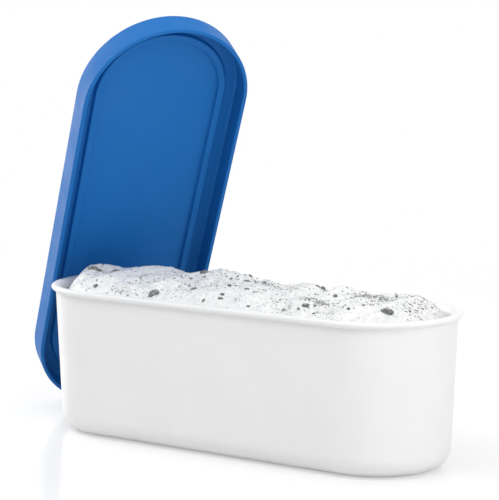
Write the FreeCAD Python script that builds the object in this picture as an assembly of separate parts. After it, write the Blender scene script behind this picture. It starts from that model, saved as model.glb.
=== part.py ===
"""Long ice cream tub, filled, with its lid taken off and leaned against one end.

Row frame: millimetres, +Z up. The origin is the centre of the tub's underside, on the surface that it
stands on. +X runs along the tub, +Y across it.

Three pieces:
  tub        thin walled, straight sided with half round ends, drafted, with a rounded foot and a beaded rim
  ice_cream  fills the tub and stands above the rim in soft lumps
  lid        flexible cover with a deep skirt, a flat rim band, a sunk deck and a sealing ring underneath;
             it stands on one end on the floor and leans over the tub's -X end

Every section is drawn once, as a half profile of (distance from the spine, height), and is carried round
the same straight-sided, round-ended path: pulled along the two straights and turned round the two ends.
"""

import FreeCAD, Part
import math
import os

from FreeCAD import Vector

# ---- tub -------------------------------------------------------------------------------------------------
TUB_LENGTH = 266.0        # over the rim
TUB_WIDTH = 94.0          # over the rim
TUB_HEIGHT = 86.0
WALL = 4.2                # tub wall, measured across the profile's horizontal
FLOOR = 3.4               # thickness of the tub's floor above the foot recess
DRAFT = 2.5               # degrees that the walls lean outwards
RIM_OVERHANG = 2.3        # how far the rim's bead stands out from the wall
RIM_HEIGHT = 3.2          # height of the bead
BEAD_ROUND = 1.55         # outer rounds of the bead, a little under half its height
RIM_INNER_ROUND = 4.0     # soft round on the mouth's inner edge
UNDER_RIM_FILLET = 1.0
FOOT_ROUND = 11.6         # round between the walls and the base
FOOT_WIDTH = 4.5          # flat ring that the tub stands on
FOOT_RECESS = 1.0         # how far the middle of the base is raised
FOOT_EDGE_ROUND = 0.4

# ---- ice cream -------------------------------------------------------------------------------------------
FILL_CLEARANCE = 0.3      # between the ice cream and the tub's sides; it rests on the floor
MOUND_HEIGHT = 3.7        # level of the top above the rim, away from the walls
EDGE_DROP = 3.0           # how far below the rim the filling meets the long walls
EDGE_RISE = 17.0          # distance from the long walls over which it rises to its level
END_DROP = 11.0           # the same two at the ends, where the scoops stand back from the wall
END_RISE = 14.5
END_GAP = 2.5
LEVELLING = 2.0           # how soon the rise levels off: 1 is a straight slope
SCOOPS = (                # (place along, place across, height, radius), the places as shares of half the tub
    (-0.93, -0.25, 6.5, 19),
    (-0.85, 0.17, 4.5, 9),
    (-0.61, 0.24, 4.0, 16),
    (-0.30, 0.13, 4.5, 13),
    (-0.21, 0.31, 5.5, 9),
    (-0.10, 0.24, 5.5, 9),
    (0.25, 0.13, 5.0, 10),
    (0.43, 0.13, 5.0, 9),
    (0.60, 0.18, 2.0, 10),
    (0.75, 0.26, 3.0, 10),
    (0.82, 0.18, 2.5, 10),
    (-0.62, -0.50, 2.5, 12),
    (-0.33, -0.42, 2.5, 11),
    (0.02, -0.40, 3.0, 14),
    (0.42, -0.45, 3.0, 12),
    (0.72, -0.42, 3.0, 12),
    (-0.66, 0.58, 1.5, 11),
)
RIPPLE = 0.5              # smaller unevenness: (waves per metre along, waves per metre across, turn)
RIPPLES = ((31, 17, 0.4), (-19, 38, 1.9), (47, -29, 3.3))
GRID_STEP = 5.0           # spacing of the points that carry the top surface

# ---- lid -------------------------------------------------------------------------------------------------
LID_HEIGHT = 16.5         # lip to the top of the rim band
LID_RIM_GAP = 0.2         # between the skirt and the tub's rim when the lid is on
SKIRT = 2.4               # skirt thickness
LIP_ROUND = 0.7
LID_EDGE_ROUND = 2.5      # outer top edge
BAND_WIDTH = 7.4          # flat band round the top
DECK_SINK = 2.0           # how far the deck lies below the band
DECK = 1.8                # deck thickness
STEP_RUN = 0.5            # sideways run of the steps
PANEL_INSET = 17.0        # from the lid's outline to the raised panel
PANEL_RISE = 0.8
RING_GAP = 0.3            # between the sealing ring and the inside of the mouth when the lid is on
RING_WIDTH = 5.4
RING_HEIGHT = 2.4
RING_SLOPE = 0.8
SMALL_ROUND = 0.6
INNER_CORNER = 1.5

# ---- how the lid leans -----------------------------------------------------------------------------------
LEAN = 29.5               # degrees from upright
LEAN_HEADING = -31.0      # degrees about +Z from +X: the way that the lid's open side faces
LEAN_SIDESTEP = 11.5      # how far the lid's middle stands off the middle of the tub's end
LEAN_GAP = 0.3            # between the tub's rim and the lid
LEAN_TOLERANCE = 0.01     # how closely that gap is met

HALF_LIMIT = 0.49         # a round takes at most this share of the face that it shares with another round
SAME_POINT = 1e-6
UP = Vector(0, 0, 1)
RIM_RADIUS = TUB_WIDTH / 2
HALF_STRAIGHT = TUB_LENGTH / 2 - RIM_RADIUS
WALL_TOP_RADIUS = RIM_RADIUS - RIM_OVERHANG
DRAFT_SLOPE = math.tan(math.radians(DRAFT))
FLOOR_TOP = FOOT_RECESS + FLOOR


def rounded_face(corners):
    """Face in the YZ plane from (distance, height, round) corners: straight edges, each corner an arc."""
    def point(corner):
        return Vector(0, corner[0], corner[1])

    starts, ends, arcs = [], [], []
    count = len(corners)
    for i, corner in enumerate(corners):
        here = point(corner)
        before = (point(corners[i - 1]) - here).normalize()
        after = (point(corners[(i + 1) % count]) - here).normalize()
        if corner[2] == 0:
            starts.append(here)
            ends.append(here)
            arcs.append(None)
            continue
        half_angle = before.getAngle(after) / 2
        tangent = corner[2] / math.tan(half_angle)
        centre = here + (before + after).normalize() * (corner[2] / math.sin(half_angle))
        middle = centre + (here - centre).normalize() * corner[2]
        starts.append(here + before * tangent)
        ends.append(here + after * tangent)
        arcs.append(middle)
    edges = []
    for i in range(count):
        if arcs[i] is not None:
            edges.append(Part.Arc(starts[i], arcs[i], ends[i]).toShape())
        following = starts[(i + 1) % count]
        if (following - ends[i]).Length > SAME_POINT:
            edges.append(Part.LineSegment(ends[i], following).toShape())
    return Part.Face(Part.Wire(edges))


def carry_round(corners, half_straight):
    """Solid of a half profile carried round the path: two pulled straights and two turned ends."""
    face = rounded_face(corners)
    right, left = Vector(half_straight, 0, 0), Vector(-half_straight, 0, 0)
    at_right, at_left = face.translated(right), face.translated(left)
    far_side = at_right.rotated(right, UP, 180)
    pieces = [
        at_left.extrude(right - left),
        far_side.extrude(left - right),
        at_right.revolve(right, UP * -1, 180),
        at_left.revolve(left, UP, 180),
    ]
    return pieces[0].multiFuse(pieces[1:]).removeSplitter().Solids[0]


def wall_radius(height):
    """Distance from the spine to the tub's outer wall at a height."""
    return WALL_TOP_RADIUS - (TUB_HEIGHT - height) * DRAFT_SLOPE


def make_tub():
    foot_outer = wall_radius(0) - FOOT_ROUND * math.tan(math.radians(45 + DRAFT / 2))
    foot_inner = foot_outer - FOOT_WIDTH
    under_rim = TUB_HEIGHT - RIM_HEIGHT
    bead_round = min(BEAD_ROUND, RIM_HEIGHT * HALF_LIMIT)
    return carry_round([
        (0, FOOT_RECESS, 0),
        (foot_inner - FOOT_RECESS, FOOT_RECESS, FOOT_EDGE_ROUND),
        (foot_inner, 0, FOOT_EDGE_ROUND),
        (wall_radius(0), 0, FOOT_ROUND),
        (wall_radius(under_rim), under_rim, UNDER_RIM_FILLET),
        (RIM_RADIUS, under_rim, bead_round),
        (RIM_RADIUS, TUB_HEIGHT, bead_round),
        (wall_radius(TUB_HEIGHT) - WALL, TUB_HEIGHT, RIM_INNER_ROUND),
        (wall_radius(FLOOR_TOP) - WALL, FLOOR_TOP, FOOT_ROUND - WALL),
        (0, FLOOR_TOP, 0),
    ], HALF_STRAIGHT)


def mouth_edge_distance(x, y):
    """How far inside the tub's mouth a point lies, from the nearest wall."""
    along = max(abs(x) - HALF_STRAIGHT, 0)
    return WALL_TOP_RADIUS - WALL - math.hypot(along, y)


def mound_height(x, y):
    """Height of the ice cream's top over a point of the plan.

    It starts below the rim at the wall, rises steeply and then levels off; soft round scoops and three
    crossing waves are added where it has risen. Towards the two ends it starts lower and further in."""
    endness = min(max((abs(x) - HALF_STRAIGHT) / RIM_RADIUS, 0), 1)
    drop = EDGE_DROP + (END_DROP - EDGE_DROP) * endness
    run = EDGE_RISE + (END_RISE - EDGE_RISE) * endness
    share = min(max((mouth_edge_distance(x, y) - END_GAP * endness) / run, 0), 1)
    risen = 1 - (1 - share) ** LEVELLING
    bumps = 0
    for along, across, height, radius in SCOOPS:
        away = math.hypot(x - along * TUB_LENGTH / 2, y - across * TUB_WIDTH / 2) / radius
        bumps += height * math.exp(-away * away)
    for waves_along, waves_across, turn in RIPPLES:
        bumps += RIPPLE * math.sin(2 * math.pi * (waves_along * x + waves_across * y) / 1000 + turn)
    return TUB_HEIGHT - drop + (MOUND_HEIGHT + drop + bumps) * risen


def make_ice_cream():
    columns = math.ceil(TUB_LENGTH / GRID_STEP)
    rows = math.ceil(TUB_WIDTH / GRID_STEP)
    grid = []
    for i in range(columns + 1):
        x = TUB_LENGTH * (i / columns - 0.5)
        grid.append([])
        for j in range(rows + 1):
            y = TUB_WIDTH * (j / rows - 0.5)
            grid[-1].append(Vector(x, y, mound_height(x, y)))
    top = Part.BSplineSurface()
    top.interpolate(grid)
    highest = max(point.z for row in grid for point in row)
    below_top = top.toShape().extrude(UP * -(highest + FLOOR_TOP))
    inset = WALL + FILL_CLEARANCE
    mouth = wall_radius(TUB_HEIGHT) - inset
    cavity = carry_round([
        (0, FLOOR_TOP, 0),
        (wall_radius(FLOOR_TOP) - inset, FLOOR_TOP, FOOT_ROUND - inset),
        (mouth, TUB_HEIGHT, 0),
        (mouth, 2 * highest, 0),
        (0, 2 * highest, 0),
    ], HALF_STRAIGHT)
    return cavity.common(below_top).Solids[0]


def make_lid():
    """The lid as moulded: lip at z = 0, top of the rim band at LID_HEIGHT, spine along X."""
    outline = RIM_RADIUS + LID_RIM_GAP + SKIRT
    deck_top = LID_HEIGHT - DECK_SINK
    deck_under = deck_top - DECK
    ring_outer = WALL_TOP_RADIUS - WALL - RING_GAP
    ring_inner = ring_outer - RING_WIDTH
    ring_low = deck_under - RING_HEIGHT
    band_inner = outline - BAND_WIDTH
    panel = outline - PANEL_INSET
    return carry_round([
        (0, deck_under, 0),
        (ring_inner, deck_under, SMALL_ROUND),
        (ring_inner + RING_SLOPE, ring_low, SMALL_ROUND),
        (ring_outer - RING_SLOPE, ring_low, SMALL_ROUND),
        (ring_outer, deck_under, SMALL_ROUND),
        (outline - SKIRT, deck_under, INNER_CORNER),
        (outline - SKIRT, 0, LIP_ROUND),
        (outline, 0, LIP_ROUND),
        (outline, LID_HEIGHT, LID_EDGE_ROUND),
        (band_inner, LID_HEIGHT, SMALL_ROUND),
        (band_inner - STEP_RUN, deck_top, SMALL_ROUND),
        (panel + STEP_RUN, deck_top, SMALL_ROUND / 2),
        (panel, deck_top + PANEL_RISE, SMALL_ROUND / 2),
        (0, deck_top + PANEL_RISE, 0),
    ], HALF_STRAIGHT)


def lean_lid(lid):
    """The lid stood on one end and tipped over the tub's -X end until it meets the rim.

    It is turned first, then lowered to the floor, then slid in along its heading: the sliding distance is
    halved down until the rim's bead, whose centre line is an arc, clears the lid by LEAN_GAP."""
    lean, heading = math.radians(LEAN), math.radians(LEAN_HEADING)
    forward = Vector(math.cos(heading), math.sin(heading), 0)
    sideways = Vector(-math.sin(heading), math.cos(heading), 0)
    long_axis = forward * math.sin(lean) + UP * math.cos(lean)
    outward = forward * -math.cos(lean) + UP * math.sin(lean)
    turn = FreeCAD.Rotation(long_axis, sideways, outward, "XYZ")
    turned = lid.copy()
    turned.Placement = FreeCAD.Placement(Vector(0, 0, 0), turn)
    drop = -turned.optimalBoundingBox(False, False).ZMin

    bead = RIM_HEIGHT / 2
    bead_height = TUB_HEIGHT - bead
    end_centre = Vector(-HALF_STRAIGHT, 0, 0)
    bead_line = Part.Arc(
        end_centre + Vector(0, RIM_RADIUS - bead, bead_height),
        end_centre + Vector(bead - RIM_RADIUS, 0, bead_height),
        end_centre + Vector(0, bead - RIM_RADIUS, bead_height),
    ).toShape()
    middle_height = bead_height - drop
    base = end_centre + sideways * LEAN_SIDESTEP + UP * drop - forward * (middle_height * math.tan(lean))

    near, far = 0.0, RIM_RADIUS + LID_HEIGHT / math.cos(lean)
    while far - near > LEAN_TOLERANCE:
        back = (near + far) / 2
        turned.Placement = FreeCAD.Placement(base - forward * back, turn)
        if turned.distToShape(bead_line)[0] < bead + LEAN_GAP:
            near = back
        else:
            far = back
    turned.Placement = FreeCAD.Placement(base - forward * far, turn)
    return turned


def main():
    os.makedirs("parts", exist_ok=True)
    pieces = {
        "tub": make_tub(),
        "ice_cream": make_ice_cream(),
        "lid": lean_lid(make_lid()),
    }
    for node, shape in pieces.items():
        shape.exportStep(os.path.join("parts", node + ".step"))
        box = shape.optimalBoundingBox(False, False)
        print(f"{node}: {shape.ShapeType}, {len(shape.Faces)} faces, valid {shape.isValid()}, "
              f"{shape.Volume / 1000:.1f} cm3, x {box.XMin:.1f} to {box.XMax:.1f}, "
              f"y {box.YMin:.1f} to {box.YMax:.1f}, z {box.ZMin:.2f} to {box.ZMax:.1f}")


main()
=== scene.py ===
"""Dresses the packed ice cream tub: its finishes, the ice cream's real surface, the biscuit and the stage.

Lengths in the settings are metres. The shape functions work in millimetres, in the part's own frame:
origin at the centre of the tub's underside, +X along the tub, +Z up.
"""

import math

import bmesh
import bpy
import numpy as np
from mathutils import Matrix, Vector


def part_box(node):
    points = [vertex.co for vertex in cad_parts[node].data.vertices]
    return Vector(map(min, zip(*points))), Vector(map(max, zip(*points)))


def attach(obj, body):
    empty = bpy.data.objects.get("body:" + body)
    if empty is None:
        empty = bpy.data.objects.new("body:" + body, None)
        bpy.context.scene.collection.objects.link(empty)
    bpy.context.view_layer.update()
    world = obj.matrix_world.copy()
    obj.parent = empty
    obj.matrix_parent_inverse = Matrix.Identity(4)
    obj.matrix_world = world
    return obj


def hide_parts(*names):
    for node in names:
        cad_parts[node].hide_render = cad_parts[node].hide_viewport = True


bl_info = {
    "name": "Ice cream tub",
    "version": (1, 0, 0),
    "blender": (4, 5, 0),
    "location": "3D View > Sidebar > Ice cream tub",
    "description": "Finishes, ice cream, biscuit pieces and stage for a long filled tub with its lid off",
    "category": "Object",
}

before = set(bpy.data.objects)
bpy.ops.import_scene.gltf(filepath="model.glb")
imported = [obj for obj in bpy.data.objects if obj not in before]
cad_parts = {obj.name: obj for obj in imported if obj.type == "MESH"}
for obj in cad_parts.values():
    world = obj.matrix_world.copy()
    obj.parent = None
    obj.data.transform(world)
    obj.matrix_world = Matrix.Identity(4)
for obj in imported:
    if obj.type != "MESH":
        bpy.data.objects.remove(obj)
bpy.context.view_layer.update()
BODY = "root"
MM = 0.001

TUB_LOW, TUB_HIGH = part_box("tub")
TUB_LENGTH = (TUB_HIGH.x - TUB_LOW.x) / MM
TUB_WIDTH = (TUB_HIGH.y - TUB_LOW.y) / MM
TUB_HEIGHT = TUB_HIGH.z / MM
RIM_RADIUS = TUB_WIDTH / 2
HALF_STRAIGHT = TUB_LENGTH / 2 - RIM_RADIUS
ICE_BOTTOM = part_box("ice_cream")[0].z / MM

# The top of the solid ice cream, which its real surface follows. Scoops: place along and across as shares of
# half the tub's size, height, radius.
SCOOPS = (
    (-0.93, -0.25, 6.5, 19),
    (-0.85, 0.17, 4.5, 9),
    (-0.61, 0.24, 4.0, 16),
    (-0.30, 0.13, 4.5, 13),
    (-0.21, 0.31, 5.5, 9),
    (-0.10, 0.24, 5.5, 9),
    (0.25, 0.13, 5.0, 10),
    (0.43, 0.13, 5.0, 9),
    (0.60, 0.18, 2.0, 10),
    (0.75, 0.26, 3.0, 10),
    (0.82, 0.18, 2.5, 10),
    (-0.62, -0.50, 2.5, 12),
    (-0.33, -0.42, 2.5, 11),
    (0.02, -0.40, 3.0, 14),
    (0.42, -0.45, 3.0, 12),
    (0.72, -0.42, 3.0, 12),
    (-0.66, 0.58, 1.5, 11),
)
RIPPLES = ((31, 17, 0.4), (-19, 38, 1.9), (47, -29, 3.3))    # waves a metre along and across, turn
RIPPLE = 0.5                                # height of the waves
MOUND_HEIGHT = 3.7                          # level of the middle over the rim
EDGE_DROP, EDGE_RISE = 3.0, 17.0            # at the long sides: depth under the rim, width of the slope
END_DROP, END_RISE, END_GAP = 11.0, 14.5, 2.5    # at the ends: the same, and the level strip at the wall
LEVELLING = 2.0                             # how early the slope levels off
DRAFT_SLOPE = math.tan(math.radians(2.5))   # of the tub's inner wall
FOOT_ROUND = 7.1                            # between the ice cream's sides and its bottom

# The churned surface on top of that. Millimetres, and shares of the sizes in its settings.
CALM_REACH, CALMEST = 4.0, 0.12             # relief grows over this distance from the wall, from this share
LEAN_REACH = 8.0                            # lumps lean fully over their creases beyond this distance
BROKEN_PATCH = 22                           # size of the more and the less broken patches
CURD_MIDDLE, FINE_MIDDLE = 0.55, 0.5        # height of a curd or a grain that counts as the level
SMALL_CURD_HEIGHT, SMALL_CURD_SIZE = 0.4, 0.45    # of the curds' height and size
GRAIN_HEIGHT, GRAIN_SIZE = 0.7, 0.6         # of the crumbling's height and size
LEAN_SIZE = 0.5                             # of the folds' size
SEEDS = {"broken": 90, "fold": 11, "curd": 21, "small curd": 31, "crumb": 41, "grain": 51, "along": 61,
         "across": 71, "crumb cluster": 77, "biscuit": 5}
WALL_RINGS, FOOT_RINGS = 6, 6               # rings of points down the sides and round the foot
WALL_TOP, WALL_LOW = 0.92, 0.12             # heights of the first and last side ring, as shares
SLOPE_REACH = 0.5                           # slopes for what lies on the surface are taken this far out

# Larger broken biscuit: place along and across the tub, length, width, turn in degrees.
CHUNKS = (
    (-42, -34, 6.2, 6.0, 75),
    (-85, -34, 3.0, 2.2, 40),
    (-114, -24, 2.6, 2.0, 80),
    (-108, -8, 4.8, 3.0, 60),
    (-106, -6, 4.0, 2.2, 30),
    (-109, -10, 3.0, 1.8, 45),
    (-101, 4, 4.2, 1.4, 35),
    (-37, 5, 4.6, 2.8, 45),
    (-32, 1, 1.6, 1.3, 0),
    (-39, -2, 2.0, 1.3, 20),
    (-25, -19, 3.0, 1.8, 40),
    (-32, -14, 1.9, 1.2, 30),
    (-18, 6, 2.6, 1.1, 10),
    (-10, -7, 3.8, 1.3, -10),
    (11, -18, 3.0, 1.2, 70),
    (-7, 8, 4.2, 1.6, 36),
    (3, -29, 2.3, 1.6, 0),
    (-6, -36, 2.4, 1.6, 80),
    (4, -32, 3.6, 1.4, 0),
    (26, -36, 2.0, 1.2, 36),
    (18, -20, 2.3, 1.0, 50),
    (39, 15, 2.8, 2.6, 70),
    (-5, 21, 4.2, 1.5, 36),
    (-12, 18, 2.4, 1.2, 20),
    (61, -31, 4.4, 2.2, 36),
    (65, -28, 2.4, 1.2, 30),
    (62, -4, 2.4, 1.8, 30),
    (89, -31, 2.1, 1.7, 0),
    (106, -21, 6.8, 3.6, 24),
    (91, 12, 1.9, 1.5, 0),
    (49, -35, 2.3, 1.3, 60),
    (58, -34, 2.1, 1.2, -20),
    (69, -35, 1.9, 1.3, 60),
    (76, 35, 3.6, 1.8, 60),
    (-70, 35, 4.6, 2.8, 10),
    (22, 34, 6.0, 3.6, -40),
    (-15, 36, 3.4, 2.2, 15),
)
CHUNK_RINGS, CHUNK_SIDES, CHUNK_PLANES = 14, 22, 8
CHUNK_ROUGHNESS = 0.012
CHUNK_HEIGHT, TALLEST_CHUNK = 0.9, 4.0      # share of the width, and millimetres
CHUNK_SUNK = 0.28                           # share of the height below the surface
CHUNK_SHARP_EDGE = 24                       # degrees between faces whose edge stays sharp
CHUNK_CREAM = 0.12                          # most cream on a chunk

# Patches where fine crumbs gather: place along and across, spread along and across, share of the crumbs.
PATCHES = (
    (-1, 16, 5, 3, 0.028),
    (-67, -35, 4, 2, 0.016),
    (63, -24, 5, 2.6, 0.050),
    (60, 24, 6, 4, 0.016),
    (76, 3, 5, 2.6, 0.036),
    (88, 6, 6, 2.6, 0.040),
    (93, -19, 1.5, 5, 0.008),
    (113, -9, 5, 5, 0.020),
    (112, 8, 4, 7, 0.024),
    (-48, 4, 12, 10, 0.030),
    (-18, 2, 12, 8, 0.030),
    (-25, -18, 8, 6, 0.016),
    (55, -35, 8, 3, 0.012),
    (-107, -5, 5, 4, 0.016),
)
CRUMB_KINDS, CRUMB_RINGS, CRUMB_SIDES, CRUMB_PLANES = 12, 3, 6, 7
CRUMB_ROUGHNESS = 0.05
CRUMB_FINENESS = 2.3                        # above 1, fine crumbs outnumber large ones
NARROWEST_CRUMB, WIDEST_CRUMB, NARROWING = 0.22, 0.75, 1.2    # width as a share of the length, and its law
CRUMB_HEIGHT = 0.4                          # share of the length
CRUMB_SUNK = 0.42                           # share of the height below the surface
CRUMB_CREAM = 0.6                           # most cream on a crumb
CRUMB_CLUSTER, CRUMB_SPREAD = 9, 0.5        # size of loose clusters, and the noise above which all are kept
CRUMB_MARGIN = 1.5                          # crumbs keep this far from the wall

# Broken lumps: the nearest depth of a broken plane, the reach of the ball that the planes cut, and the least
# share of a direction that counts as facing a plane.
NEAREST_PLANE, BALL_REACH, FACING = 0.62, 1.15, 0.05

# Lamps: name, azimuth and elevation in degrees round their aim, distance, width, height, watts. Metres.
LAMPS = (
    ("lamp_top", -40, 70, 1.5, 1.4, 1.0, 7),
    ("lamp_key", -22, 50, 1.6, 1.2, 0.7, 9.4),
    ("lamp_left", -100, 14, 1.5, 0.8, 1.2, 15),
    ("lamp_corner_strip", 50, 3, 1.6, 0.16, 1.2, 5.5),
    ("lamp_right", 66, 46, 1.5, 0.9, 0.9, 6.6),
    ("lamp_side", 98, 18, 1.5, 0.6, 0.9, 5.4),
    ("lamp_back", 165, 35, 1.6, 1.4, 0.9, 5),
)
LAMP_AIM = Vector((0, 0, 0.08))
FLOOR_REACH = 4.0                           # half the floor's side
FLOOR_NEAR, FLOOR_FAR = 0.25, 0.9           # the floor turns into the surround between these distances
FLOOR_NEAR_WHITE = 0.45                     # share of plain white near the tub
SENSOR_WIDTH = 36                           # millimetres
FARTHEST_SEEN = 50                          # metres
WHITE = (1, 1, 1)


# ---- settings ---------------------------------------------------------------------------------------------

def size_setting(name, description, default):
    """A length in metres."""
    return bpy.props.FloatProperty(name=name, description=description, default=default, unit="LENGTH",
                                   precision=5)


def colour_setting(name, description, default):
    """A colour in linear red, green and blue."""
    return bpy.props.FloatVectorProperty(name=name, description=description, default=default, size=3,
                                         subtype="COLOR", min=0, max=1)


def share_setting(name, description, default):
    """A share from 0 to 1."""
    return bpy.props.FloatProperty(name=name, description=description, default=default, min=0, max=1,
                                   subtype="FACTOR")


def turn_setting(name, description, default):
    """An angle, given in degrees and kept in radians."""
    return bpy.props.FloatProperty(name=name, description=description, default=math.radians(default),
                                   unit="ROTATION")


class TubLooks(bpy.types.PropertyGroup):
    """Settings of the tub"""
    colour: colour_setting("Plastic", "Colour of the tub's plastic", (0.745, 0.745, 0.745))
    gloss: share_setting("Roughness", "Roughness of the moulded surface", 0.34)
    wall: size_setting("Wall", "Thickness of the tub's wall at the mouth", 4.2 * MM)
    overhang: size_setting("Rim overhang", "How far the rim stands out from the wall", 2.3 * MM)


class LidLooks(bpy.types.PropertyGroup):
    """Settings of the lid"""
    colour: colour_setting("Lid", "Colour of the flexible lid", (0.004, 0.124, 0.405))
    bloom: colour_setting("Bloom", "Pale dusty film that such lids pick up", (0.042, 0.19, 0.48))
    gloss: share_setting("Roughness", "Roughness of the lid", 0.58)


class IceCreamLooks(bpy.types.PropertyGroup):
    """Settings of the ice cream and its surface"""
    colour: colour_setting("Ice cream", "Colour of the ice cream", (0.805, 0.808, 0.797))
    speck: colour_setting("Speck", "Colour of the finest biscuit specks", (0.13, 0.135, 0.14))
    clearance: size_setting("Clearance", "Gap between the ice cream and the tub's sides", 0.3 * MM)
    step: size_setting("Step", "Spacing of the surface's points", 0.54 * MM)
    fold_height: size_setting("Folds", "Height of the broad folds", 0.9 * MM)
    fold_size: size_setting("Fold size", "Width of the broad folds", 15 * MM)
    curd_height: size_setting("Curds", "Height of the rounded curds", 1.1 * MM)
    curd_size: size_setting("Curd size", "Width of the rounded curds", 10 * MM)
    crumb_height: size_setting("Crumbling", "Height of the small broken relief", 0.38 * MM)
    crumb_size: size_setting("Crumbling size", "Width of the small broken relief", 2.4 * MM)


class BiscuitLooks(bpy.types.PropertyGroup):
    """Settings of the biscuit chunks and crumbs"""
    colour: colour_setting("Biscuit", "Colour of the dark biscuit", (0.070, 0.071, 0.074))
    frost: colour_setting("Frost", "Ice cream smeared on the biscuit", (0.50, 0.515, 0.52))
    crumbs: bpy.props.IntProperty(name="Crumbs", description="Number of fine crumbs", default=6000, min=0)
    smallest: size_setting("Smallest crumb", "Length of the finest crumb", 0.36 * MM)
    largest: size_setting("Largest crumb", "Length of the largest crumb", 2.0 * MM)


class StageLooks(bpy.types.PropertyGroup):
    """Settings of the camera, the floor and the light"""
    azimuth: turn_setting("Azimuth", "Camera's turn round the tub from its long side", 36.45)
    elevation: turn_setting("Elevation", "Camera's height angle over the tub's foot", 12.25)
    distance: size_setting("Distance", "Camera's distance from the tub's foot", 1.337)
    lens: bpy.props.FloatProperty(name="Lens", description="Focal length for a 36 mm sensor", default=168.0,
                                  unit="CAMERA")
    aim: bpy.props.FloatVectorProperty(name="Aim", description="Point that the camera looks at", size=3,
                                       default=(0.0, 0.0, 0.112), unit="LENGTH")
    floor: colour_setting("Floor", "Colour of the pale floor", (0.86, 0.86, 0.865))
    fill: share_setting("Fill", "Strength of the light from all round", 0.30)


# ---- mesh helpers -----------------------------------------------------------------------------------------

def mesh_piece(name, points, faces, material):
    """A smooth mesh object from points in millimetres."""
    mesh = bpy.data.meshes.new(name)
    mesh.from_pydata((points * MM).tolist(), [], faces)
    mesh.polygons.foreach_set("use_smooth", np.ones(len(mesh.polygons), bool))
    mesh.materials.append(material)
    mesh.update()
    piece = bpy.data.objects.new(name, mesh)
    bpy.context.scene.collection.objects.link(piece)
    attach(piece, BODY)
    return piece


def close_seams(piece):
    """Joins doubled points along seams, and turns all faces outwards."""
    shape = bmesh.new()
    shape.from_mesh(piece.data)
    bmesh.ops.remove_doubles(shape, verts=shape.verts, dist=1e-6)
    bmesh.ops.recalc_face_normals(shape, faces=shape.faces)
    shape.to_mesh(piece.data)
    shape.free()


def grid_faces(rows, columns):
    """Corner numbers of the squares of a grid whose points are counted along each row."""
    first = (np.arange(rows - 1)[:, None] * columns + np.arange(columns - 1)).ravel()
    return np.stack([first, first + 1, first + columns + 1, first + columns], axis=1)


def smooth_noise(x, y, cell, seed):
    """Smooth random value from -1 to 1: random numbers on a square lattice of the given spacing, blended
    between neighbours with the curve 6t^5 - 15t^4 + 10t^3, so slopes are continuous."""
    lattice = 256
    table = np.random.default_rng(seed).uniform(-1, 1, (lattice, lattice))
    u, v = x / cell + lattice / 2, y / cell + lattice / 2
    i, j = np.floor(u).astype(int), np.floor(v).astype(int)
    s, t = u - i, v - j
    s = s ** 3 * (s * (6 * s - 15) + 10)
    t = t ** 3 * (t * (6 * t - 15) + 10)
    i0, i1, j0, j1 = i % lattice, (i + 1) % lattice, j % lattice, (j + 1) % lattice
    low = table[i0, j0] * (1 - s) + table[i1, j0] * s
    high = table[i0, j1] * (1 - s) + table[i1, j1] * s
    return low * (1 - t) + high * t


def curds(x, y, cell, seed):
    """Rounded lumps from 0 to 1 with creases between them: the size of two crossed smooth noises, whose
    zero lines become the creases."""
    turned = 0.8 * x - 0.6 * y, 0.6 * x + 0.8 * y
    lumps = np.abs(smooth_noise(x, y, cell, seed)) + np.abs(smooth_noise(*turned, cell, seed + 1))
    return np.minimum(lumps, 1)


# ---- ice cream --------------------------------------------------------------------------------------------

def mouth_radius():
    """Radius of the tub's inner wall at the mouth, round each end's centre."""
    tub = bpy.context.scene.tub_looks
    return RIM_RADIUS - (tub.overhang + tub.wall) / MM


def mound_height(x, y):
    """Level of the top over a point of the plan, as on the solid: below the rim at the wall, rising steeply
    and levelling off, with round scoops and three crossing waves where it has risen."""
    beyond = np.maximum(np.abs(x) - HALF_STRAIGHT, 0)
    endness = np.clip(beyond / RIM_RADIUS, 0, 1)
    edge = mouth_radius() - np.hypot(beyond, y)
    drop = EDGE_DROP + (END_DROP - EDGE_DROP) * endness
    run = EDGE_RISE + (END_RISE - EDGE_RISE) * endness
    risen = 1 - (1 - np.clip((edge - END_GAP * endness) / run, 0, 1)) ** LEVELLING
    bumps = 0
    for along, across, height, radius in SCOOPS:
        away = np.hypot(x - along * TUB_LENGTH / 2, y - across * TUB_WIDTH / 2) / radius
        bumps = bumps + height * np.exp(-away ** 2)
    for waves_along, waves_across, turn in RIPPLES:
        bumps = bumps + RIPPLE * np.sin(2 * np.pi * (waves_along * x + waves_across * y) / 1000 + turn)
    return TUB_HEIGHT - drop + (MOUND_HEIGHT + drop + bumps) * risen, edge


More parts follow.
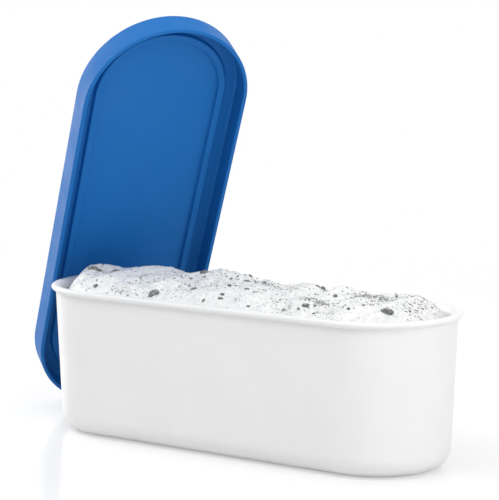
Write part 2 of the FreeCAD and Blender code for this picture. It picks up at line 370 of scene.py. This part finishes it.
def ice_cream_points(x, y):
    """Points of the ice cream's top over plan points: the solid's level, plus broad folds, rounded curds of
    two sizes and small broken relief; folds also push sideways, so that lumps lean over their creases."""
    looks = bpy.context.scene.ice_cream_looks
    level, edge = mound_height(x, y)
    calm = np.clip(edge / CALM_REACH, CALMEST, 1)
    fold, fold_height = looks.fold_size / MM, looks.fold_height / MM
    curd, curd_height = looks.curd_size / MM, looks.curd_height / MM
    crumb, crumb_height = looks.crumb_size / MM, looks.crumb_height / MM
    broken = 0.5 + 0.5 * smooth_noise(x, y, BROKEN_PATCH, SEEDS["broken"])
    small_curds = curds(x, y, curd * SMALL_CURD_SIZE, SEEDS["small curd"]) - FINE_MIDDLE
    grains = curds(x, y, crumb * GRAIN_SIZE, SEEDS["grain"]) - FINE_MIDDLE
    relief = fold_height * smooth_noise(x, y, fold, SEEDS["fold"])
    relief += curd_height * (curds(x, y, curd, SEEDS["curd"]) - CURD_MIDDLE)
    relief += curd_height * SMALL_CURD_HEIGHT * small_curds
    relief += crumb_height * smooth_noise(x, y, crumb, SEEDS["crumb"]) * broken
    relief += crumb_height * GRAIN_HEIGHT * grains * broken
    push = fold_height * calm * np.clip(edge / LEAN_REACH, 0, 1)
    along = x + push * smooth_noise(x, y, fold * LEAN_SIZE, SEEDS["along"])
    across = y + push * smooth_noise(x, y, fold * LEAN_SIZE, SEEDS["across"])
    return np.stack([along, across, level + relief * calm], axis=-1)


def plan_columns(radius, step):
    """Columns that cross the plan: centre along X, and angle of their ends from straight across. They are
    evenly spaced along the straight and evenly turned round the two ends."""
    straight = np.linspace(-HALF_STRAIGHT, HALF_STRAIGHT, round(2 * HALF_STRAIGHT / step) + 1)
    turn = np.linspace(0, np.pi / 2, round(radius * np.pi / 2 / step) + 1)[1:]
    centre = np.concatenate([np.full(len(turn), -HALF_STRAIGHT), straight, np.full(len(turn), HALF_STRAIGHT)])
    angle = np.concatenate([-turn[::-1], np.zeros(len(straight)), turn])
    return centre, angle


def side_rings(centre, angle, radius, edges):
    """Points of the two sides by side, column and ring: from the top's edges down the tub's inner wall, then
    round the foot to the bottom."""
    foot = radius - (TUB_HEIGHT - ICE_BOTTOM) * DRAFT_SLOPE
    turned = np.linspace(0, np.pi / 2, FOOT_RINGS)
    heights = np.concatenate([np.linspace(WALL_TOP, WALL_LOW, WALL_RINGS), np.zeros(FOOT_RINGS)])
    below = np.concatenate([np.full(WALL_RINGS, ICE_BOTTOM + FOOT_ROUND),
                            ICE_BOTTOM + FOOT_ROUND * (1 - np.sin(turned))])
    drawn_in = np.concatenate([np.zeros(WALL_RINGS), FOOT_ROUND * (1 - np.cos(turned))])
    sides = []
    for way, edge in zip((-1, 1), edges):
        z = below + (edge[:, None] - below) * heights
        ring_radius = np.minimum(foot + (z - ICE_BOTTOM) * DRAFT_SLOPE, radius) - drawn_in
        x = np.sin(angle)[:, None] * ring_radius + centre[:, None]
        y = np.cos(angle)[:, None] * way * ring_radius
        sides.append(np.stack([x, y, z], axis=-1))
    return sides


def ice_cream_mesh():
    """The whole body of ice cream: the top over a grid of columns, sides that follow the tub's inner wall
    down to the rounded foot, and a flat bottom. Each is a grid, and they share their edge points' places."""
    looks = bpy.context.scene.ice_cream_looks
    radius = mouth_radius() - looks.clearance / MM
    step = looks.step / MM
    centre, angle = plan_columns(radius, step)
    across = np.linspace(-1, 1, round(2 * radius / step) + 1)
    y = radius * np.cos(angle)[:, None] * across
    x = np.broadcast_to((centre + radius * np.sin(angle))[:, None], y.shape)
    top = ice_cream_points(x, y)
    near, far = side_rings(centre, angle, radius, (top[:, 0, 2], top[:, -1, 2]))
    grids = (
        top,
        np.concatenate([top[:, :1], near], axis=1),
        np.concatenate([top[:, -1:], far], axis=1),
        np.stack([near[:, -1], far[:, -1]], axis=1),
    )
    points, faces, counted = [], [], 0
    for grid in grids:
        points.append(grid.reshape(-1, 3))
        faces.append(grid_faces(*grid.shape[:2]) + counted)
        counted += len(points[-1])
    return np.concatenate(points), np.concatenate(faces)


# ---- biscuit ----------------------------------------------------------------------------------------------

def broken_shapes(rng, count, rings, sides, planes, roughness):
    """Broken lumps of unit size: a ball of points, each drawn in to the nearest of several random planes,
    so that the lump has flat broken sides and blunt edges, and then roughened."""
    up = np.linspace(0, np.pi, rings + 2)[1:-1]
    turn = np.arange(sides) * 2 * np.pi / sides
    ring = np.stack([np.sin(up)[:, None] * np.cos(turn), np.sin(up)[:, None] * np.sin(turn),
                     np.cos(up)[:, None] + 0 * turn], axis=-1).reshape(-1, 3)
    ball = np.concatenate([[[0, 0, 1]], ring, [[0, 0, -1]]])
    normals = rng.normal(size=(count, planes, 3))
    normals /= np.linalg.norm(normals, axis=-1, keepdims=True)
    facing = np.einsum("pc,nkc->npk", ball, normals)
    depth = rng.uniform(NEAREST_PLANE, 1.0, (count, 1, planes))
    reach = np.where(facing > FACING, depth / np.maximum(facing, FACING), BALL_REACH).min(axis=-1)
    reach = np.minimum(reach, BALL_REACH) * (1 + roughness * rng.uniform(-1, 1, reach.shape))
    lumps = ball * reach[..., None]

    around = np.arange(sides)
    after = (around + 1) % sides
    cap = [[0, 1 + a, 1 + b] for a, b in zip(around, after)]
    body = [[1 + r * sides + a, 1 + (r + 1) * sides + a, 1 + (r + 1) * sides + b, 1 + r * sides + b]
            for r in range(rings - 1) for a, b in zip(around, after)]
    foot = 1 + (rings - 1) * sides
    base = [[foot + b, foot + a, foot + sides] for a, b in zip(around, after)]
    return lumps, cap + body + base


def surface_frame(x, y):
    """Point and upward normal of the ice cream's top over each plan point."""
    here = ice_cream_points(x, y)
    along = ice_cream_points(x + SLOPE_REACH, y) - ice_cream_points(x - SLOPE_REACH, y)
    across = ice_cream_points(x, y + SLOPE_REACH) - ice_cream_points(x, y - SLOPE_REACH)
    normal = np.cross(along, across)
    return here, normal / np.linalg.norm(normal, axis=-1, keepdims=True)


def lay_on_surface(lumps, x, y, sizes, turn, sunk):
    """Lumps scaled, turned about the surface's normal, and set on it with a share of their height sunk."""
    here, normal = surface_frame(x, y)
    forward = np.stack([np.cos(turn), np.sin(turn), np.zeros_like(turn)], axis=-1)
    across = np.cross(normal, forward)
    across /= np.linalg.norm(across, axis=-1, keepdims=True)
    forward = np.cross(across, normal)
    scaled = lumps * sizes[:, None] / 2
    centre = here + normal * (sizes[:, 2] / 2 * (1 - 2 * sunk))[:, None]
    return (centre[:, None] + scaled[..., :1] * forward[:, None] + scaled[..., 1:2] * across[:, None]
            + scaled[..., 2:] * normal[:, None])


def joined_faces(faces, lump_points, count):
    """The faces of one lump repeated for every lump."""
    return [[corner + n * lump_points for corner in face] for n in range(count) for face in faces]


def lumps_piece(name, lumps, faces, finish, shares):
    """One object from all its lumps, which keeps on every point how much of its lump cream covers."""
    count, lump_points = lumps.shape[:2]
    piece = mesh_piece(name, lumps.reshape(-1, 3), joined_faces(faces, lump_points, count), finish)
    creamed = piece.data.attributes.new("creamed", "FLOAT", "POINT")
    creamed.data.foreach_set("value", np.repeat(shares, lump_points))
    return piece


def make_chunks(finish, rng):
    """The larger pieces of biscuit, each lying where it is listed."""
    x, y, length, width, turn = np.array(CHUNKS, float).T
    lumps, faces = broken_shapes(rng, len(CHUNKS), CHUNK_RINGS, CHUNK_SIDES, CHUNK_PLANES, CHUNK_ROUGHNESS)
    sizes = np.stack([length, width, np.minimum(width * CHUNK_HEIGHT, TALLEST_CHUNK)], axis=1)
    lumps = lay_on_surface(lumps, x, y, sizes, np.radians(turn), CHUNK_SUNK)
    piece = lumps_piece("biscuit_chunks", lumps, faces, finish, rng.uniform(0, CHUNK_CREAM, len(CHUNKS)))
    piece.data.set_sharp_from_angle(angle=math.radians(CHUNK_SHARP_EDGE))


def crumb_places(looks, rng):
    """Plan points of the crumbs: gathered round each patch, and thinly spread in loose clusters."""
    gathered = [np.stack([rng.normal(px, sx, round(looks.crumbs * share)),
                          rng.normal(py, sy, round(looks.crumbs * share))], axis=1)
                for px, py, sx, sy, share in PATCHES]
    spread = rng.uniform(-1, 1, (looks.crumbs, 2)) * (TUB_LENGTH / 2, TUB_WIDTH / 2)
    clusters = smooth_noise(spread[:, 0], spread[:, 1], CRUMB_CLUSTER, SEEDS["crumb cluster"])
    spread = spread[clusters > rng.uniform(-1, CRUMB_SPREAD, looks.crumbs)]
    place = np.concatenate(gathered + [spread])
    edge = mound_height(place[:, 0], place[:, 1])[1]
    return place[edge > CRUMB_MARGIN]


def make_crumbs(looks, finish, rng):
    """The fine crumbs: a few broken kinds in many sizes, fine ones the most, turned any way."""
    place = crumb_places(looks, rng)
    count = len(place)
    kinds, faces = broken_shapes(rng, CRUMB_KINDS, CRUMB_RINGS, CRUMB_SIDES, CRUMB_PLANES, CRUMB_ROUGHNESS)
    lumps = kinds[rng.integers(0, CRUMB_KINDS, count)]
    size = looks.smallest / MM * (looks.largest / looks.smallest) ** (rng.random(count) ** CRUMB_FINENESS)
    width = size * rng.uniform(NARROWEST_CRUMB, WIDEST_CRUMB, count) ** NARROWING
    sizes = np.stack([size, width, size * CRUMB_HEIGHT], axis=1)
    turn = rng.uniform(0, np.pi, count)
    lumps = lay_on_surface(lumps, place[:, 0], place[:, 1], sizes, turn, CRUMB_SUNK)
    lumps_piece("biscuit_crumbs", lumps, faces, finish, rng.uniform(0.0, CRUMB_CREAM, count))


# ---- materials --------------------------------------------------------------------------------------------

def dimmed(colour, *shares):
    """The colour with each channel at its share, or all at the one share given."""
    shares = shares if len(shares) == len(colour) else shares * len(colour)
    return [channel * share for channel, share in zip(colour, shares)]


class Nodes:
    """The node tree of a world or a material, with short ways to add nodes and join them."""

    def __init__(self, owner):
        owner.use_nodes = True
        self.tree = owner.node_tree

    def feed(self, socket, value):
        """Gives a socket a link, a colour of three channels, or a plain value."""
        if isinstance(value, bpy.types.NodeSocket):
            self.tree.links.new(value, socket)
        elif socket.type == "RGBA":
            socket.default_value = (*value, 1)
        else:
            socket.default_value = value

    def add(self, kind, inputs=None, **settings):
        """A new node, with what feeds its inputs, by their names or numbers."""
        node = self.tree.nodes.new(kind)
        for key, value in settings.items():
            setattr(node, key, value)
        for key, value in (inputs or {}).items():
            self.feed(node.inputs[key], value)
        return node

    def between(self, value, low, high, to_low=0.0, to_high=1.0):
        """The value's stretch from low to high, spread smoothly from to_low to to_high."""
        return self.add("ShaderNodeMapRange", {"Value": value, "From Min": low, "From Max": high,
                                               "To Min": to_low, "To Max": to_high},
                        interpolation_type="SMOOTHSTEP").outputs["Result"]

    def times(self, a, b):
        return self.add("ShaderNodeMath", {0: a, 1: b}, operation="MULTIPLY").outputs["Value"]

    def larger(self, a, b):
        return self.add("ShaderNodeMath", {0: a, 1: b}, operation="MAXIMUM").outputs["Value"]

    def end(self, output, share, first, second):
        """Ends the tree in two shaders: the first, turning into the second as the share goes from 0 to 1."""
        mix = self.add("ShaderNodeMixShader", {0: share, 1: first.outputs[0], 2: second.outputs[0]})
        self.feed(self.tree.nodes[output].inputs["Surface"], mix.outputs[0])


class Finish(Nodes):
    """A new material, with patterns that lie still on its piece."""

    def __init__(self, name):
        self.material = bpy.data.materials.new(name)
        super().__init__(self.material)
        self.shader = self.tree.nodes["Principled BSDF"]
        self.place = self.add("ShaderNodeTexCoord").outputs["Object"]

    def noise(self, scale, detail=3.0, roughness=0.5):
        return self.add("ShaderNodeTexNoise", {"Vector": self.place, "Scale": scale, "Detail": detail,
                                               "Roughness": roughness}).outputs["Fac"]

    def specks(self, scale, size, rarity, strength):
        """Soft round specks, in the cells of a random pattern whose chance is above the rarity."""
        cells = self.add("ShaderNodeTexVoronoi", {"Vector": self.place, "Scale": scale, "Randomness": 1.0})
        chance = self.add("ShaderNodeSeparateColor", {"Color": cells.outputs["Color"]}).outputs["Red"]
        spot = self.between(cells.outputs["Distance"], size * 0.6, size * 1.3, to_low=1.0, to_high=0.0)
        return self.times(spot, self.between(chance, rarity, 1.0, to_high=strength))

    def mix(self, share, a, b):
        """Colour a, turning into colour b as the share goes from 0 to 1."""
        return self.add("ShaderNodeMix", {0: share, 6: a, 7: b}, data_type="RGBA").outputs[2]

    def bump(self, height, distance, strength=1.0, below=None):
        """The surface's normal over this relief, which may lie on another relief below it."""
        inputs = {"Height": height, "Distance": distance, "Strength": strength}
        if below is not None:
            inputs["Normal"] = below
        return self.add("ShaderNodeBump", inputs).outputs["Normal"]

    def set(self, **values):
        """Values or links for the shader's own sockets, with _ for a space."""
        for key, value in values.items():
            self.feed(self.shader.inputs[key.replace("_", " ")], value)


def tub_plastic(looks):
    """White moulded plastic: faint cloudiness in its gloss, and the soft unevenness of a cooled moulding."""
    nodes = Finish("tub_white_plastic")
    cloud = nodes.noise(scale=38, detail=2)
    tint = nodes.mix(nodes.between(cloud, low=0.35, high=0.65), looks.colour, dimmed(looks.colour, 0.985))
    gloss = nodes.between(cloud, low=0.3, high=0.7, to_low=looks.gloss - 0.03, to_high=looks.gloss + 0.04)
    flow = nodes.bump(nodes.noise(scale=14, detail=1), distance=0.0009, strength=0.35)
    grain = nodes.bump(nodes.noise(scale=1400, detail=2), distance=0.00003, strength=0.4, below=flow)
    nodes.set(Base_Color=tint, Roughness=gloss, IOR=1.49, Subsurface_Weight=0.08,
              Subsurface_Radius=(0.004, 0.004, 0.004), Subsurface_Scale=1.0, Normal=grain)
    return nodes.material


def lid_plastic(looks):
    """Blue flexible plastic: a pale film that gathers unevenly, and a fine matt grain."""
    nodes = Finish("lid_blue_flexible")
    film = nodes.between(nodes.noise(scale=24, detail=4, roughness=0.6), low=0.42, high=0.78, to_high=0.10)
    dust = nodes.between(nodes.noise(scale=900, detail=2), low=0.66, high=0.78, to_high=0.25)
    colour = nodes.mix(dust, nodes.mix(film, looks.colour, looks.bloom), looks.bloom)
    gloss = nodes.between(nodes.noise(scale=60, detail=3), low=0.3, high=0.7,
                          to_low=looks.gloss - 0.04, to_high=looks.gloss + 0.06)
    waviness = nodes.bump(nodes.noise(scale=9, detail=1), distance=0.0012, strength=0.3)
    grain = nodes.bump(nodes.noise(scale=2600, detail=2), distance=0.00003, strength=0.5, below=waviness)
    nodes.set(Base_Color=colour, Roughness=gloss, IOR=1.42, Specular_IOR_Level=0.3, Normal=grain)
    return nodes.material


def ice_cream_finish(looks):
    """Frozen cream: icy white, a little light passing through, fine grain, and scattered fine specks that
    gather in streaks."""
    nodes = Finish("ice_cream_white")
    streak = nodes.between(nodes.noise(scale=85, detail=3), low=0.38, high=0.62, to_low=0.4)
    large = nodes.specks(scale=760.0, size=0.28, rarity=0.64, strength=0.8)
    small = nodes.specks(scale=1500.0, size=0.32, rarity=0.52, strength=0.8)
    specks = nodes.larger(nodes.times(large, streak), nodes.times(small, streak))
    clouding = nodes.between(nodes.noise(scale=320, detail=4, roughness=0.65), low=0.38, high=0.68)
    cloud = nodes.mix(clouding, looks.colour, dimmed(looks.colour, 0.85, 0.87, 0.875))
    coarse = nodes.bump(nodes.noise(scale=420, detail=4, roughness=0.6), distance=0.0008, strength=0.6)
    fine = nodes.bump(nodes.noise(scale=1300, detail=3, roughness=0.6), distance=0.0004, strength=0.6,
                      below=coarse)
    nodes.set(Base_Color=nodes.mix(specks, cloud, looks.speck), Roughness=0.55, IOR=1.33,
              Subsurface_Weight=0.2, Subsurface_Radius=(0.0012, 0.0012, 0.0012), Subsurface_Scale=1.0,
              Normal=fine)
    return nodes.material


def biscuit_finish(looks):
    """Dark crumbly biscuit with frozen cream smeared over parts of it, more on some pieces than on others."""
    nodes = Finish("biscuit_dark")
    smear = nodes.between(nodes.noise(scale=900, detail=3, roughness=0.6), low=0.46, high=0.70,
                          to_low=0.05, to_high=0.6)
    cover = nodes.add("ShaderNodeAttribute", attribute_name="creamed").outputs["Fac"]
    covered = nodes.add("ShaderNodeMath", {0: smear, 1: cover}, operation="ADD", use_clamp=True)
    grain = nodes.bump(nodes.noise(scale=2400, detail=4, roughness=0.65), distance=0.0003, strength=0.8)
    nodes.set(Base_Color=nodes.mix(covered.outputs["Value"], looks.colour, looks.frost), Roughness=0.7,
              Normal=grain)
    return nodes.material


# ---- stage ------------------------------------------------------------------------------------------------

def camera_place(stage):
    """Camera's place: so far from the tub's foot, turned by the azimuth and raised by the elevation."""
    flat = math.cos(stage.elevation) * stage.distance
    return Vector((math.sin(stage.azimuth) * flat, -math.cos(stage.azimuth) * flat,
                   math.sin(stage.elevation) * stage.distance))


def soft_lamp(name, azimuth, elevation, distance, width, height, power, aim):
    """Rectangular lamp on a ball round the aim, facing it."""
    a, e = math.radians(azimuth), math.radians(elevation)
    back = Vector((math.sin(a) * math.cos(e), -math.cos(a) * math.cos(e), math.sin(e)))
    lamp = bpy.data.lights.new(name, "AREA")
    lamp.shape = "RECTANGLE"
    lamp.size, lamp.size_y = width, height
    lamp.energy = power
    holder = bpy.data.objects.new(name, lamp)
    holder.location = aim + back * distance
    holder.rotation_euler = (-back).to_track_quat("-Z", "Y").to_euler()
    bpy.context.scene.collection.objects.link(holder)


def seen_plainly(nodes):
    """1 for what is seen directly, in a reflection or through something clear, and 0 otherwise."""
    path = nodes.add("ShaderNodeLightPath").outputs
    seen = nodes.larger(path["Is Camera Ray"], path["Is Glossy Ray"])
    return nodes.larger(seen, path["Is Transmission Ray"])


def make_world(stage):
    """Even pale light from all round, which is plain white where it is seen."""
    world = bpy.data.worlds.new("pale_surround")
    bpy.context.scene.world = world
    nodes = Nodes(world)
    lit = nodes.tree.nodes["Background"]
    nodes.feed(lit.inputs["Color"], WHITE)
    nodes.feed(lit.inputs["Strength"], stage.fill)
    seen = nodes.add("ShaderNodeBackground", {"Color": WHITE, "Strength": 1.0})
    nodes.end("World Output", seen_plainly(nodes), lit, seen)


def floor_finish(stage):
    """Pale glossy floor, which turns into the plain white surround with distance from the tub; near it, a
    share of what is seen is plain white, so that shadows stay soft and light."""
    nodes = Finish("floor_pale")
    nodes.set(Base_Color=stage.floor, Roughness=0.16, IOR=1.45)
    glow = nodes.add("ShaderNodeEmission", {"Color": WHITE, "Strength": 1.0})
    away = nodes.add("ShaderNodeVectorMath", {0: nodes.place}, operation="LENGTH").outputs["Value"]
    whiteness = nodes.between(away, FLOOR_NEAR, FLOOR_FAR, to_low=FLOOR_NEAR_WHITE)
    nodes.end("Material Output", nodes.times(seen_plainly(nodes), whiteness), nodes.shader, glow)
    return nodes.material


def make_floor(stage):
    """The floor, which is stage and no piece of the part."""
    corners = np.array([(-1, -1, 0), (1, -1, 0), (1, 1, 0), (-1, 1, 0)]) * FLOOR_REACH
    mesh = bpy.data.meshes.new("floor")
    mesh.from_pydata(corners.tolist(), [], [(0, 1, 2, 3)])
    mesh.materials.append(floor_finish(stage))
    floor = bpy.data.objects.new("floor", mesh)
    bpy.context.scene.collection.objects.link(floor)


def make_camera(stage):
    """The camera, in its place and turned to its aim."""
    camera = bpy.data.cameras.new("camera")
    camera.lens = stage.lens
    camera.sensor_width = SENSOR_WIDTH
    camera.clip_end = FARTHEST_SEEN
    holder = bpy.data.objects.new("camera", camera)
    holder.location = camera_place(stage)
    holder.rotation_euler = (Vector(stage.aim) - holder.location).to_track_quat("-Z", "Y").to_euler()
    bpy.context.scene.collection.objects.link(holder)
    bpy.context.scene.camera = holder


# ---- operators --------------------------------------------------------------------------------------------

class ICETUB_OT_finish_tub(bpy.types.Operator):
    """Give the tub its white moulded plastic"""
    bl_idname = "icetub.finish_tub"
    bl_label = "Finish the tub"

    def execute(self, context):
        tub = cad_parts["tub"]
        tub.data.materials.clear()
        tub.data.materials.append(tub_plastic(context.scene.tub_looks))
        return {"FINISHED"}


class ICETUB_OT_finish_lid(bpy.types.Operator):
    """Give the lid its blue flexible plastic"""
    bl_idname = "icetub.finish_lid"
    bl_label = "Finish the lid"

    def execute(self, context):
        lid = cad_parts["lid"]
        lid.data.materials.clear()
        lid.data.materials.append(lid_plastic(context.scene.lid_looks))
        return {"FINISHED"}


class ICETUB_OT_make_ice_cream(bpy.types.Operator):
    """Make the ice cream with its real surface in place of the plain solid"""
    bl_idname = "icetub.make_ice_cream"
    bl_label = "Make the ice cream"

    def execute(self, context):
        points, faces = ice_cream_mesh()
        piece = mesh_piece("ice_cream_scooped", points, faces.tolist(),
                           ice_cream_finish(context.scene.ice_cream_looks))
        close_seams(piece)
        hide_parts("ice_cream")
        return {"FINISHED"}


class ICETUB_OT_make_biscuit(bpy.types.Operator):
    """Lay the broken biscuit chunks and the fine crumbs on the ice cream"""
    bl_idname = "icetub.make_biscuit"
    bl_label = "Make the biscuit"

    def execute(self, context):
        looks = context.scene.biscuit_looks
        finish = biscuit_finish(looks)
        rng = np.random.default_rng(SEEDS["biscuit"])
        make_chunks(finish, rng)
        make_crumbs(looks, finish, rng)
        return {"FINISHED"}


class ICETUB_OT_make_stage(bpy.types.Operator):
    """Make the floor, the lamps, the surround and the camera"""
    bl_idname = "icetub.make_stage"
    bl_label = "Make the stage"

    def execute(self, context):
        stage = context.scene.stage_looks
        make_floor(stage)
        make_world(stage)
        for lamp in LAMPS:
            soft_lamp(*lamp, LAMP_AIM)
        make_camera(stage)
        context.scene.view_settings.view_transform = "Standard"
        return {"FINISHED"}


class ICETUB_PT_panel(bpy.types.Panel):
    """Settings and steps of the ice cream tub"""
    bl_idname = "ICETUB_PT_panel"
    bl_label = "Ice cream tub"
    bl_space_type = "VIEW_3D"
    bl_region_type = "UI"
    bl_category = "Ice cream tub"

    def draw(self, context):
        for label, group, steps in SECTIONS:
            box = self.layout.box()
            box.label(text=label)
            looks = getattr(context.scene, group)
            for key in looks.__annotations__:
                box.prop(looks, key)
            for step in steps:
                box.operator(step)


SECTIONS = (
    ("Tub", "tub_looks", ("icetub.finish_tub",)),
    ("Lid", "lid_looks", ("icetub.finish_lid",)),
    ("Ice cream", "ice_cream_looks", ("icetub.make_ice_cream",)),
    ("Biscuit", "biscuit_looks", ("icetub.make_biscuit",)),
    ("Stage", "stage_looks", ("icetub.make_stage",)),
)
GROUPS = {
    "tub_looks": TubLooks,
    "lid_looks": LidLooks,
    "ice_cream_looks": IceCreamLooks,
    "biscuit_looks": BiscuitLooks,
    "stage_looks": StageLooks,
}
CLASSES = (ICETUB_OT_finish_tub, ICETUB_OT_finish_lid, ICETUB_OT_make_ice_cream, ICETUB_OT_make_biscuit,
           ICETUB_OT_make_stage, ICETUB_PT_panel)


def register():
    for name, group in GROUPS.items():
        bpy.utils.register_class(group)
        setattr(bpy.types.Scene, name, bpy.props.PointerProperty(type=group))
    for kind in CLASSES:
        bpy.utils.register_class(kind)


def unregister():
    for kind in reversed(CLASSES):
        bpy.utils.unregister_class(kind)
    for name, group in GROUPS.items():
        delattr(bpy.types.Scene, name)
        bpy.utils.unregister_class(group)


def main():
    register()
    bpy.ops.icetub.finish_tub()
    bpy.ops.icetub.finish_lid()
    bpy.ops.icetub.make_ice_cream()
    bpy.ops.icetub.make_biscuit()
    bpy.ops.icetub.make_stage()


if __name__ == "__main__":
    main()
